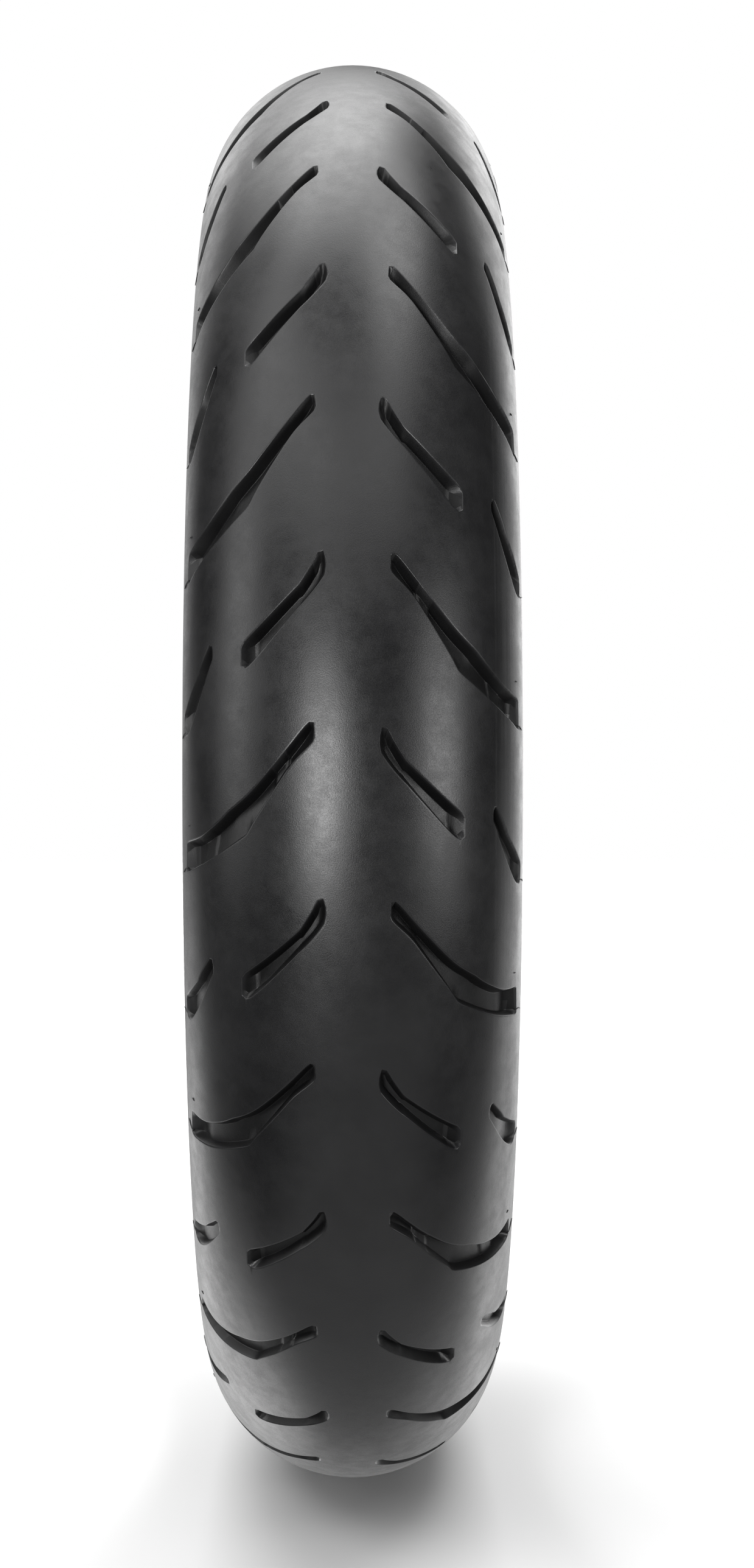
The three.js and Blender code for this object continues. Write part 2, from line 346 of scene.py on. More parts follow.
def slants(line, shares, crossing):
    """How many times longer each crossing is than the straight way across from a line."""
    after = along(line, np.minimum(shares + SLANT_SAMPLE, 1))
    tangent = after - along(line, np.maximum(shares - SLANT_SAMPLE, 0))
    turned = np.abs(tangent[:, 0] * crossing[:, 1] - tangent[:, 1] * crossing[:, 0])
    size = np.linalg.norm(tangent, axis=1) * np.linalg.norm(crossing, axis=1)
    return np.clip(size / np.maximum(turned, 1e-9), 1, MOST_SLANT)


def wall_share(distance, foot):
    """How much of the groove's depth a wall has reached at a distance in from its edge."""
    return np.interp(distance, LIP_AT + [foot], LIP_SHARE + [1.0])


def groove(lead, trail, feet, tilt, floor, bars):
    """A groove's inside as a grid: flat positions, depths and rim. Rows crowd where the floor steps."""
    lead_foot, trail_foot, inner_foot, outer_foot = feet
    lead, trail = rounded(flat(lead)), rounded(flat(trail))
    length = sum(np.linalg.norm(np.diff(line, axis=0), axis=1).sum() for line in (lead, trail)) / 2
    ends = np.array([0.0, 1.0])
    end_slants = slants(lead, ends, along(trail, ends) - along(lead, ends))
    inner = wall_steps(inner_foot, end_slants[0], length / 2)
    outer = wall_steps(outer_foot, end_slants[1], length / 2)
    gap = length - inner[-1] - outer[-1]
    between = np.linspace(inner[-1], length - outer[-1], round(gap / ALONG_SPACING) + 1)[1:-1]
    # The outer end's slope runs from the row under the lip to the first row at the foot.
    slope_rows = max(1, round((outer[4] - outer[3]) / ALONG_SPACING)) + 1
    ramp = np.linspace(outer[3], outer[4], slope_rows)[1:-1]
    even = np.linspace(0, 1, MIDDLE_SAMPLES)
    middle_line = (along(lead, even) + along(trail, even))[:, 0] / 2 / MM_ACROSS
    steps = WEAR_BAR + OUTER_STEP if bars else ()
    at_steps = np.interp(steps, middle_line, even * length)
    close = np.concatenate([at_steps - STEP_SPREAD, at_steps, at_steps + STEP_SPREAD])
    close = close[(close > inner[-1]) & (close < length - outer[-1])]
    between = [x for x in between if len(close) == 0 or np.abs(close - x).min() > STEP_CLEARANCE]
    stations = np.sort(np.concatenate([inner, between, close, length - outer, length - ramp]))
    shares = stations / length
    a, b = along(lead, shares), along(trail, shares)
    lead_slants, trail_slants = slants(lead, shares, b - a), slants(trail, shares, b - a)
    points = []
    for p, q, lead_slant, trail_slant in zip(a, b, lead_slants, trail_slants):
        width = np.linalg.norm(q - p)
        lead_need = (lead_foot + FOOT_SPREAD) * lead_slant
        trail_need = (trail_foot + FOOT_SPREAD) * trail_slant
        share = lead_need / (lead_need + trail_need)
        from_lead = wall_steps(lead_foot, lead_slant, WALL_ROOM * width * share) / width
        from_trail = wall_steps(trail_foot, trail_slant, WALL_ROOM * width * (1 - share)) / width
        middle = (from_lead[-1] + 1 - from_trail[-1]) / 2
        places = np.concatenate([from_lead, [middle], 1 - from_trail[::-1]])[:, None]
        points.append(p * (1 - places) + q * places)
    points = np.array(points)
    rim = np.concatenate([points[:, 0], points[-1, 1:], points[-2::-1, -1], points[0, -2:0:-1]])
    spots = points.reshape(-1, 2)
    walls = ((lead, lead_foot), (trail, trail_foot), (points[0], inner_foot), (points[-1], outer_foot))
    reached = np.min([wall_share(line_distance(spots, line), foot) for line, foot in walls], axis=0)
    from_lead = line_distance(spots, lead) - lead_foot
    from_trail = line_distance(spots, trail) - trail_foot
    rise = np.clip(from_lead / np.maximum(from_lead + from_trail, 0.5), 0, 1)
    spots_across = spots[:, 0] / MM_ACROSS
    rise = rise * tilt * (1 - smooth_step(spots_across, *TILT_FADE))
    row_across = np.repeat(np.interp(stations, even * length, middle_line), points.shape[1])
    depth = reached * (1 - rise) * floor_depth(floor, spots_across, row_across, bars)
    depth = depth.reshape(points.shape[:2])
    depth[0] = depth[-1] = 0
    depth[:, 0] = depth[:, -1] = 0
    return points, depth, rim


def support_points(rim):
    """A ring of points just outside a groove's rim, so that its lip's shading ends there."""
    tangent = np.roll(rim, -2, axis=0) - np.roll(rim, 2, axis=0)
    normal = np.stack([tangent[:, 1], -tangent[:, 0]], -1)
    normal /= np.linalg.norm(normal, axis=1)[:, None]
    loop = rim + normal * (SUPPORT_OFFSET if signed_area(rim) > 0 else -SUPPORT_OFFSET)
    loop = np.vstack([loop, loop[:1]])
    count = round(np.linalg.norm(np.diff(loop, axis=0), axis=1).sum() / SUPPORT_SPACING)
    points = along(loop, np.arange(count) / count)
    clear = edge_distance(points, rim) > SUPPORT_OFFSET * SUPPORT_CLEARANCE
    return points[clear & ~inside(points, rim)]


def half_tile(bars, shift_around):
    """One pitch of one side of the tread: flat positions, depths and faces."""
    side = flat(TILE_SIDE)
    low = np.linspace(0, TREAD_EDGE * MM_ACROSS, SIDE_POINTS)
    low = np.stack([low, np.interp(low, side[:, 0], side[:, 1])], -1)
    shift = np.array([0, PITCH * MM_AROUND])
    side_steps = np.linspace(0, 1, EDGE_STEPS + 1)[1:-1, None]
    outer = low[-1] + shift * side_steps
    inner = low[0] + shift * side_steps
    border = np.concatenate([low, outer, (low + shift)[::-1], inner[::-1]])

    def moved(points, degrees):
        return [(across, around + degrees + shift_around) for across, around in points]

    half = PITCH / 2
    grooves = []
    for lead, trail, degrees, feet, tilt, floor, barred in (
        (LONG_LEAD, LONG_TRAIL, 0, LONG_FEET, LONG_TILT, LONG_FLOOR, bars),
        (SHORT_LEAD, SHORT_TRAIL, half, SHORT_FEET, 0, SHORT_FLOOR, False),
        (SHOULDER_LEAD, SHOULDER_TRAIL, half, SHOULDER_FEET, 0, SHOULDER_FLOOR, False),
    ):
        grooves.append(groove(moved(lead, degrees), moved(trail, degrees), feet, tilt, floor, barred))
    constraints = [border] + [rim for _, _, rim in grooves]
    supports = np.concatenate([support_points(rim) for _, _, rim in grooves])

    xs = np.arange(SURFACE_SPACING, TREAD_EDGE * MM_ACROSS, SURFACE_SPACING * SURFACE_ROW)
    ys = np.arange(border[:, 1].min(), border[:, 1].max(), SURFACE_SPACING)
    grid = np.array([(x, y + (i % 2) * SURFACE_SPACING / 2) for i, x in enumerate(xs) for y in ys])
    grid = grid[inside(grid, border)]
    for line in constraints:
        grid = grid[edge_distance(grid, line) > SURFACE_SPACING * SURFACE_CLEARANCE]
    for _, _, rim in grooves:
        grid = grid[~inside(grid, rim)]

    points = np.concatenate(constraints + [supports, grid])
    edges = []
    start = 0
    for line in constraints:
        n = len(line)
        edges += [(start + i, start + (i + 1) % n) for i in range(n)]
        start += n
    flat_points, _, triangles, origin, _, _ = geometry.delaunay_2d_cdt(
        [Vector(p) for p in points], edges, [], 0, 1e-7, True
    )
    assert len(flat_points) == len(points)
    positions = np.array([tuple(p) for p in flat_points])
    triangles = np.array(triangles)
    p, q, s = np.moveaxis(positions[triangles], 1, 0)
    doubled_areas = np.abs((q - p)[:, 0] * (s - p)[:, 1] - (q - p)[:, 1] * (s - p)[:, 0])
    centres = (p + q + s) / 3
    keep = inside(centres, border) & (doubled_areas > SLIVER)
    for _, _, rim in grooves:
        keep &= ~inside(centres, rim)
    faces = [tuple(int(i) for i in t) for t in triangles[keep]]
    corners = positions[list(faces[0])]
    if signed_area(corners) < 0:
        faces = [f[::-1] for f in faces]

    depths = [np.zeros(len(positions))]
    placed = [positions]
    count = len(positions)
    for grid_points, depth, _ in grooves:
        rows, columns = depth.shape
        placed.append(grid_points.reshape(-1, 2))
        depths.append(depth.reshape(-1))
        p, q, s = grid_points[0, 0], grid_points[1, 0], grid_points[1, 1]
        flipped = signed_area([p, q, s]) < 0
        for i in range(rows - 1):
            for j in range(columns - 1):
                a = count + i * columns + j
                face = (a, a + columns, a + columns + 1, a + 1)
                faces.append(face[::-1] if flipped else face)
        count += rows * columns
    return np.concatenate(placed), np.concatenate(depths), faces


def on_tread(side, across, around, depth):
    """A point of the tread in space; depth is below the surface."""
    across, around, depth = np.broadcast_arrays(np.radians(across), np.radians(around), depth)
    rho = TREAD_ARC - depth
    r = ARC_CENTRE + rho * np.cos(across)
    return np.stack([r * np.cos(around), side * rho * np.sin(across), -r * np.sin(around)], -1)


def tread_surface():
    """The tread's whole outer skin."""
    vertices, faces = [], []
    count = 0
    for side, phase, shift_around, barred in ((-1, LEFT_PHASE, LEFT_SHIFT, 0), (1, RIGHT_PHASE, 0, 1)):
        tiles = [half_tile(bars, shift_around) for bars in (False, True)]
        for i in range(PITCHES):
            positions, depth, tile_faces = tiles[i % 2 == barred]
            around = positions[:, 1] / MM_AROUND + phase + i * PITCH
            vertices.append(on_tread(side, positions[:, 0] / MM_ACROSS, around, depth))
            for face in tile_faces:
                moved = [v + count for v in face]
                faces.append(moved if side < 0 else moved[::-1])
            count += len(positions)
    return vertices, faces, count


def paint_wall_shade(piece, material):
    """Painted shade: a duller skin on leading walls, short grooves' outer ends and the right side's long
    ones.
    """
    mesh = piece.data
    mesh.materials.append(material)
    centres, normals = np.empty((2, len(mesh.polygons) * 3))
    mesh.polygons.foreach_get("center", centres)
    mesh.polygons.foreach_get("normal", normals)
    x, y, z = centres.reshape(-1, 3).T / MM
    normal_x, normal_y, normal_z = normals.reshape(-1, 3).T
    out = np.hypot(x, z) - ARC_CENTRE
    around = np.arctan2(-z, x)
    across = np.arctan2(np.abs(y), out)
    depth = TREAD_ARC - np.hypot(y, out)
    leading = -normal_x * np.sin(around) - normal_z * np.cos(around) > LEADING_LEAN
    normal_out = normal_x * np.cos(around) - normal_z * np.sin(around)
    inwards = normal_out * np.sin(across) - normal_y * np.sign(y) * np.cos(across)
    degrees = np.degrees(across)
    long_ends = (y > 0) & (np.abs(degrees - LONG_END) < END_REACH) & (inwards > LONG_END_LEAN)
    short_ends = (np.abs(degrees - SHORT_END) < END_REACH) & (inwards > SHORT_END_LEAN)
    painted_shade = (depth > SHALLOWEST) & (depth < DEEPEST) & (leading | long_ends | short_ends)
    mesh.polygons.foreach_set("material_index", painted_shade.astype(np.int32))


def tread_cap(material, shaded_wall_material):
    vertices, faces, count = tread_surface()
    # The underside, and the two edges, as rings that share the outer skin's steps round the axle.
    steps = PITCHES * EDGE_STEPS
    around = LEFT_PHASE + TILE_SIDE[-1][1] + np.arange(steps) * 360 / steps
    rows = [on_tread(-1, TREAD_EDGE, around, 0)]
    for across in np.linspace(-UNDER_REACH, UNDER_REACH, UNDER_ROWS):
        depth = CAP_THICKNESS - CAP_THINNING * abs(across) / 90
        rows.append(on_tread(1, across, around, depth))
    rows.append(on_tread(1, TREAD_EDGE, around, 0))
    vertices += rows
    for i in range(len(rows) - 1):
        for j in range(steps):
            k = (j + 1) % steps
            a, b = count + i * steps, count + (i + 1) * steps
            faces.append((a + j, b + j, b + k, a + k))
    piece = smooth_mesh("tread", np.concatenate(vertices), faces, material, merge=0.01, sharp=100)
    paint_wall_shade(piece, shaded_wall_material)
    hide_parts("tread_cap")
    return piece


# ---- vent hairs

HAIR_SIDES = 6
HAIR_STEPS = 7
HAIR_RADIUS = 0.36
HAIR_TAPER = 0.6  # share of the radius lost by the tip
HAIR_ROOT, HAIR_LIFT = 0.3, 0.5  # depth of the root, and how far the tip rises from it
HAIR_LENGTH, HAIR_VARIETY = 0.85, 0.15  # share of the reach, and how much that varies
# Where each starts, its shift in pitches, how far it reaches across and how far it strays around.
HAIRS = [((72.9, 10.7), 0, 6.6, 0.5), ((76.2, 11.5), 0.5, 5.8, 0.35), ((69.6, 7.35), 0, 1.7, -0.05)]


def vent_hairs(name, side, phase, material):
    """Thin threads of rubber from the mould's vents, lying over the shoulder from the grooves' ends."""
    vertices, faces = [], []
    steps = np.linspace(0, 1, HAIR_STEPS)
    turns = np.arange(HAIR_SIDES) * 2 * math.pi / HAIR_SIDES
    for i in range(PITCHES):
        for j, ((start_across, start_around), shift, reach, stray) in enumerate(HAIRS):
            around = start_around + phase + (i + shift) * PITCH
            # Uneven beats along the pitches, so that neighbouring hairs differ.
            length = HAIR_LENGTH + HAIR_VARIETY * math.sin(5.3 * i + 2.1 * j + side)
            lean = math.cos(3.7 * i + 1.3 * j)
            size = HAIR_RADIUS * (1 - HAIR_TAPER * steps)[:, None]
            ring_around = around + stray * lean * steps[:, None] ** 2 + size * np.cos(turns) / MM_AROUND
            depth = HAIR_ROOT - HAIR_LIFT * np.sqrt(steps)[:, None] + size * np.sin(turns)
            across = start_across + reach * length * steps[:, None]
            count = len(vertices) * HAIR_STEPS * HAIR_SIDES
            vertices.append(on_tread(side, across, ring_around, depth).reshape(-1, 3))
            tube = [(count + k for k in reversed(range(HAIR_SIDES)))]
            last = count + (HAIR_STEPS - 1) * HAIR_SIDES
            tube.append((last + k for k in range(HAIR_SIDES)))
            for row in range(HAIR_STEPS - 1):
                for k in range(HAIR_SIDES):
                    a, b = count + row * HAIR_SIDES, (k + 1) % HAIR_SIDES
                    tube.append((a + k, a + b, a + HAIR_SIDES + b, a + HAIR_SIDES + k))
            faces += [tuple(face)[:: 1 if side > 0 else -1] for face in tube]
    return smooth_mesh(name, np.concatenate(vertices), faces, material, sharp=60)


# ---- materials


def new_material(name):
    """A new material, with its node tree and its shader."""
    material = bpy.data.materials.new(name)
    material.use_nodes = True
    tree = material.node_tree
    return material, tree, tree.nodes["Principled BSDF"]


def fill(node, values):
    """Set a node's inputs, by name or position, each to another node's output or to a constant."""
    for key, value in values.items():
        if isinstance(value, bpy.types.NodeSocket):
            node.id_data.links.new(value, node.inputs[key])
        else:
            node.inputs[key].default_value = value
    return node


def calc(operation, *inputs):
    """A sum worked out from outputs and numbers, with at least one output among them."""
    tree = next(value.id_data for value in inputs if isinstance(value, bpy.types.NodeSocket))
    made = tree.nodes.new("ShaderNodeMath")
    made.operation = operation
    return fill(made, dict(enumerate(inputs))).outputs[0]


def length_of(a, b):
    """The length of the vector [a, b]."""
    return calc("SQRT", calc("MULTIPLY_ADD", a, a, calc("MULTIPLY", b, b)))


def place_on(tree, kind="Object"):
    """A kind of texture coordinate. Object is the place on a piece, in metres."""
    return tree.nodes.new("ShaderNodeTexCoord").outputs[kind]


def split(place):
    return fill(place.id_data.nodes.new("ShaderNodeSeparateXYZ"), {0: place}).outputs


def place_round(tree):
    """Outputs for the angle round the axle in radians, y and the radius, in metres."""
    x, y, z = split(place_on(tree))
    return calc("ARCTAN2", z, x), y, length_of(x, z)


def ramp_between(value, low, high, start, end, curve="SMOOTHSTEP"):
    """A value carried from low..high to start..end, and no further."""
    made = value.id_data.nodes.new("ShaderNodeMapRange")
    made.interpolation_type = curve
    return fill(made, dict(enumerate((value, low, high, start, end)))).outputs["Result"]


def noise(place, scale, detail, roughness=0.6):
    made = place.id_data.nodes.new("ShaderNodeTexNoise")
    fill(made, {"Vector": place, "Scale": scale, "Detail": detail, "Roughness": roughness})
    return made.outputs["Fac"]


def mixed(share, a, b):
    """A colour between two, each an output or three numbers."""
    made = share.id_data.nodes.new("ShaderNodeMix")
    made.data_type = "RGBA"
    a, b = ((*colour, 1) if isinstance(colour, tuple) else colour for colour in (a, b))
    return fill(made, {0: share, 6: a, 7: b}).outputs[2]


def colour_ramp(value, places, colours):
    """A colour that runs between two, over the stretch between two places."""
    ramp = fill(value.id_data.nodes.new("ShaderNodeValToRGB"), {"Fac": value})
    for stop, place, colour in zip(ramp.color_ramp.elements, places, colours):
        stop.position = place
        stop.color = (*colour, 1)
    return ramp.outputs["Color"]


def bump(height, strength, distance_mm, **below):
    """A surface normal that follows a height, on top of the one below if there is one."""
    made = height.id_data.nodes.new("ShaderNodeBump")
    distance = distance_mm * MM
    fill(made, {"Strength": strength, "Distance": distance, "Height": height, **below})
    return made.outputs["Normal"]


CLEAN_RUBBER = ((0.0075, 0.0075, 0.008), (0.0125, 0.0125, 0.013))
DUST_COLOUR = (0.065, 0.065, 0.066)
LINE_COLOUR = (0.05, 0.05, 0.051)
SPECK_COLOUR = (0.045, 0.045, 0.045)
# Painted shade: the grooves' insides are coloured darker than the skin.
SHADED_GROOVE_RUBBER = ((0.004, 0.004, 0.0042), (0.011, 0.011, 0.0113))  # near the crown, at the shoulder
MOULD_LINES = ((54.6, 0.7, 0.4), (61.3, 0.5, 0.9))  # angle across, half width, strength
GROOVE_SHADE = (1.4, 0.3)  # depths at which the painted shade in the grooves is full and gone


def tread_material(name, specular):
    """Tread rubber: a satin skin, faintly mottled, with painted shade darkening the grooves, and dusty
    round the shoulders.
    """
    material, tree, shader = new_material(name)
    angle, y, radius = place_round(tree)
    out = calc("SUBTRACT", radius, ARC_CENTRE * MM)
    across = calc("DEGREES", calc("ARCTAN2", y, out))
    rho = length_of(out, y)
    low, high = ((TREAD_ARC - depth) * MM for depth in GROOVE_SHADE)
    groove_shade_share = ramp_between(rho, low, high, 1.0, 0.0)
    place = place_on(tree)
    cloud = noise(place, 26, 5)
    patch = noise(place, 150, 4, 0.65)
    grain = noise(place, 2300, 2)
    # Streaks run round the tyre: slow along the angle and quick across the tread.
    scales = ((angle, 5.0), (across, 1.3), (rho, 40.0))
    streak_place = fill(
        tree.nodes.new("ShaderNodeCombineXYZ"),
        {i: calc("MULTIPLY", value, scale) for i, (value, scale) in enumerate(scales)},
    )
    streak = noise(streak_place.outputs[0], 1.0, 3, 0.7)
    right = ramp_between(across, 53.0, 68.0, 0.0, 1.0)
    left = ramp_between(across, -76.0, -60.0, 0.35, 0.0)
    shoulder = calc("ADD", right, left)
    dust = calc("MULTIPLY", shoulder, ramp_between(streak, 0.3, 0.7, 0.35, 1.0))
    dust = calc("MULTIPLY", dust, calc("SUBTRACT", 1.0, groove_shade_share))
    # Two faint lines that the mould leaves round the right shoulder.
    mould_lines = 0.0
    for at, half, share in MOULD_LINES:
        off = calc("ABSOLUTE", calc("SUBTRACT", across, at))
        mould_lines = calc("ADD", ramp_between(off, 0.15, half, share, 0.0), mould_lines)
    mould_lines = calc("MULTIPLY", mould_lines, ramp_between(patch, 0.35, 0.6, 0.5, 1.0))
    specks = ramp_between(noise(place, 900, 3, 0.75), 0.66, 0.74, 0.0, 0.5)

    skin = mixed(ramp_between(cloud, 0.3, 0.7, 0.0, 1.0), *CLEAN_RUBBER)
    skin = mixed(dust, skin, DUST_COLOUR)
    skin = mixed(calc("MULTIPLY", mould_lines, 0.5), skin, LINE_COLOUR)
    skin = mixed(calc("MULTIPLY", specks, 0.35), skin, SPECK_COLOUR)
    groove_dust = ramp_between(calc("ABSOLUTE", across), 54.0, 66.0, 0.0, 1.0)
    # Painted shade: down in the grooves the skin gives way to a darker colour.
    skin = mixed(groove_shade_share, skin, mixed(groove_dust, *SHADED_GROOVE_RUBBER))

    rough = ramp_between(grain, 0.3, 0.7, 0.32, 0.39)
    rough = calc("ADD", rough, ramp_between(patch, 0.3, 0.7, -0.035, 0.035))
    rough = calc("ADD", rough, ramp_between(cloud, 0.3, 0.7, -0.025, 0.025))
    rough = calc("MULTIPLY_ADD", dust, 0.08, rough)
    rough = calc("MULTIPLY_ADD", groove_shade_share, 0.06, rough)

    fine = bump(grain, 0.14, 0.25)
    wavy = bump(calc("MULTIPLY_ADD", streak, shoulder, patch), 0.25, 0.1, Normal=fine)
    fill(shader, {"Base Color": skin, "Roughness": rough, "Normal": wavy})
    shader.inputs["Specular IOR Level"].default_value = specular
    return material


def rubber(name, dark, light, roughness, grain, strength):
    """Moulded rubber: faint mottling, a satin skin and a fine grain."""
    material, tree, shader = new_material(name)
    place = place_on(tree)
    fine = noise(place, grain, 3)
    colour = colour_ramp(noise(place, 14, 6), (0.3, 0.75), (dark, light))
    rough = ramp_between(fine, 0.3, 0.7, roughness - 0.05, roughness + 0.07, "LINEAR")
    fill(shader, {"Base Color": colour, "Roughness": rough, "Normal": bump(fine, strength, 0.4)})
    return material


def weave(name, rubber_colour, cord_colour, roughness, cords, relief_mm):
    """Rubbered cords or cloth. Each of cords is a wave: turns round the tyre, then waves per metre of
    width and per metre of radius."""
    material, tree, shader = new_material(name)
    angle, y, radius = place_round(tree)
    waves = []
    for turns, per_width, per_radius in cords:
        value = calc("MULTIPLY", angle, turns)
        value = calc("MULTIPLY_ADD", y, 2 * math.pi * per_width, value)
        value = calc("MULTIPLY_ADD", radius, 2 * math.pi * per_radius, value)
        waves.append(calc("MULTIPLY_ADD", calc("SINE", value), 0.5, 0.5))
    height = waves[0]
    for one in waves[1:]:
        height = calc("MAXIMUM", height, one)
    shade = calc("MULTIPLY", height, calc("MULTIPLY_ADD", noise(place_on(tree), 90, 4), 0.6, 0.5))
    colour = colour_ramp(shade, (0.25, 0.7), (rubber_colour, cord_colour))
    shader.inputs["Roughness"].default_value = roughness
    fill(shader, {"Base Color": colour, "Normal": bump(height, 0.6, relief_mm)})
    return material


def wound_wire(name):
    """Brass-plated steel wire, wound round and round."""
    material, tree, shader = new_material(name)
    scratch = noise(place_on(tree), 220, 3)
    colour = colour_ramp(scratch, (0, 1), WIRE_COLOURS)
    rough = ramp_between(scratch, 0, 1, 0.22, 0.45, "LINEAR")
    shader.inputs["Metallic"].default_value = 1.0
    fill(shader, {"Base Color": colour, "Roughness": rough})
    return material


BLACK_RUBBER = (0.012, 0.012, 0.012)
COOL_BLACK = (0.012, 0.012, 0.0125)
VENT_RUBBER = ((0.005, 0.005, 0.005), (0.01, 0.01, 0.01))
ARAMID = (0.55, 0.4, 0.1)
WIRE_COLOURS = ((0.32, 0.24, 0.12), (0.62, 0.5, 0.3))
tread_rubber = tread_material("tread_rubber", 0.5)
# A copy of the tread rubber with a weaker specular, used as painted shade on some groove walls.
shaded_wall_rubber = tread_material("shaded_wall_rubber", 0.2)
sidewall_rubber = rubber("sidewall_rubber", COOL_BLACK, (0.018, 0.018, 0.0185), 0.4, 2300, 0.12)
vent_rubber = rubber("vent_rubber", *VENT_RUBBER, 0.6, 2300, 0.1)
base_rubber = rubber("base_rubber", BLACK_RUBBER, (0.02, 0.02, 0.02), 0.7, 1800, 0.15)
liner_rubber = rubber("liner_rubber", COOL_BLACK, (0.022, 0.022, 0.0225), 0.45, 1200, 0.2)
cap_cords = weave("cap_cords", BLACK_RUBBER, (0.5, 0.47, 0.4), 0.65, [(1, 1000, 0)], 0.2)
outer_belt_cords = weave("outer_belt_cords", BLACK_RUBBER, ARAMID, 0.6, [(700, 850, 0)], 0.25)
inner_belt_cords = weave("inner_belt_cords", BLACK_RUBBER, ARAMID, 0.6, [(700, -850, 0)], 0.25)
carcass_cords = weave("carcass_cords", BLACK_RUBBER, (0.42, 0.36, 0.28), 0.65, [(1500, 0, 0)], 0.2)
CHAFER_CORDS = [(1350, 0, 0), (0, 1000, 1000)]
chafer_weave = weave("chafer_weave", BLACK_RUBBER, (0.05, 0.048, 0.045), 0.6, CHAFER_CORDS, 0.25)
bead_wire = wound_wire("bead_wire")

# ---- the section

# Layers of the crown, outer then inner, each as an ellipse's half width and its height above the arc's
# centre.
BASE = ((55.7, 53.7), (55.0, 52.9))
CAP_PLY = ((54.7, 52.6), (54.0, 51.8))
OUTER_BELT = ((53.7, 51.5), (53.0, 50.7))
INNER_BELT = ((52.7, 50.4), (52.0, 49.6))
CARCASS = (51.7, 49.3)
CARCASS_REACH = 84  # degrees over the crown
PLY = 0.8
OUTER_PLY_AT = 0.0
INNER_PLY_AT = 1.1
INSIDE_PLIES = 2.2
LINER = 1.0
RIGHT_BEAD = [(48.6, 237.6), (33.45, 225.1), (33.45, 219.5), (39.05, 219.5), (39.05, 225.1)]
RIGHT_BEAD += [(52.2, 241.5)]
LINER_END = (33.45, 221.7)
FLANGE_TOP = 227.6


def crown(half_width, height, start, end, steps=28):
    """Points [y, r] of an ellipse over the crown."""
    across = np.radians(np.linspace(start, end, steps))
    return np.stack([half_width * np.sin(across), ARC_CENTRE + height * np.cos(across)], -1)


def layer(name, ellipses, limit, material, slot):
    outer, inner = (crown(*ellipse, -limit, limit) for ellipse in ellipses)
    ring(name, band(outer, inner), material, slot)


def ply(name, start, material, slot):
    right = filleted(RIGHT_BEAD, 0.8, closed=False)
    path = np.vstack([mirrored(right), crown(*CARCASS, -CARCASS_REACH, CARCASS_REACH), right])
    ring(name, band(offset_line(path, start), offset_line(path, start + PLY)), material, slot)


turn_up_foot, turn_up_end = offset_line(RIGHT_BEAD, INSIDE_PLIES)[-2:]


def turn_up(share):
    """A point of the turned-up plies' outer face, by the share of its height."""
    return tuple(turn_up_foot + (turn_up_end - turn_up_foot) * share)


def turn_up_at_radius(r):
    return turn_up((r - turn_up_foot[1]) / (turn_up_end[1] - turn_up_foot[1]))


def turn_up_at_width(y):
    return turn_up((y - turn_up_foot[0]) / (turn_up_end[0] - turn_up_foot[0]))


# ---- sidewalls

SIDEWALL_PROFILE = [(59.18, 249.87), (59.75, 245.5), (59.9, 242.0), (59.5, 239.0), (58.4, 236.4)]
SIDEWALL_PROFILE += [(56.3, 234.0), (53.4, 232.0), (50.0, 230.4), (47.2, 228.9), (45.15, 227.7)]
RELIEF_FROM = 45.4  # nothing stands out nearer the middle than this y
RIDGES = [(233.6, 0.8, 0.2), (231.9, 1.1, 0.45), (229.8, 0.8, 0.3)]  # radius, width, height
BAND_LOW, BAND_HIGH = 235.0, 245.4
BAND_DEPTH = 0.3
SECTORS = 4
RIB_START, RIB_END = 3.0, 51.0  # of each sector, in degrees
RIB_PITCH = 0.75
RIB_SLANT = 2.6  # degrees from the band's lower edge to its upper
ARROW_AT = 70.5
ARROW_SECTORS = (0, 2)
SHAFT_HALF_WIDTH, SHAFT_START, SHAFT_END = 1.15, -8, 3.4
HEAD_START, HEAD_TIP = 3.0, 8.5
PANEL_HALF_LENGTH, PANEL_HALF_HEIGHT = 12, 4.4


def ridge(x, centre, width):
    """1 on a centre line, falling to 0 half a width away."""
    return 1 - smooth_step(np.abs(x - centre), 0.12 * width, 0.5 * width)


def arrow(along_mm, up_mm):
    """How far inside a turning arrow's outline each point is, in millimetres."""
    shaft = np.minimum(SHAFT_HALF_WIDTH - np.abs(up_mm), along_mm - SHAFT_START)
    shaft = np.minimum(shaft, SHAFT_END - along_mm)
    # The head's two long sides lie 30 degrees from the arrow's line.
    head = np.minimum((HEAD_TIP - along_mm) * 0.5 - np.abs(up_mm) * 0.87, along_mm - HEAD_START)
    return np.maximum(shaft, head)


def sidewall_relief(angle, y, r):
    out = sum(height * ridge(r, at, width) for at, width, height in RIDGES)
    slant = RIB_SLANT * (r - BAND_LOW) / (BAND_HIGH - BAND_LOW)
    place = (angle - slant) % (360 / SECTORS)
    in_band = block(r, BAND_LOW, BAND_HIGH, 0.7)
    teeth = smooth_step(np.abs((place - RIB_START) / RIB_PITCH % 1 - 0.5), 0.05, 0.42)
    ribbed = block(place, RIB_START, RIB_END, RIB_PITCH / 2)
    out = out - BAND_DEPTH * in_band * ribbed * (1 - teeth)
    mid = (BAND_LOW + BAND_HIGH) / 2
    for sector in ARROW_SECTORS:
        along_mm = np.radians(angle - sector * 360 / SECTORS - ARROW_AT) * mid
        mark = arrow(along_mm, r - mid)
        # The arrow stands up in a shallow panel, so that nothing passes the tyre's widest line.
        panel = block(along_mm, -PANEL_HALF_LENGTH, PANEL_HALF_LENGTH, 1.0)
        panel = panel * block(r, mid - PANEL_HALF_HEIGHT, mid + PANEL_HALF_HEIGHT, 0.8)
        out = out - BAND_DEPTH * panel * (1 - smooth_step(mark, -0.1, 0.35))
    return out * (y > RELIEF_FROM)


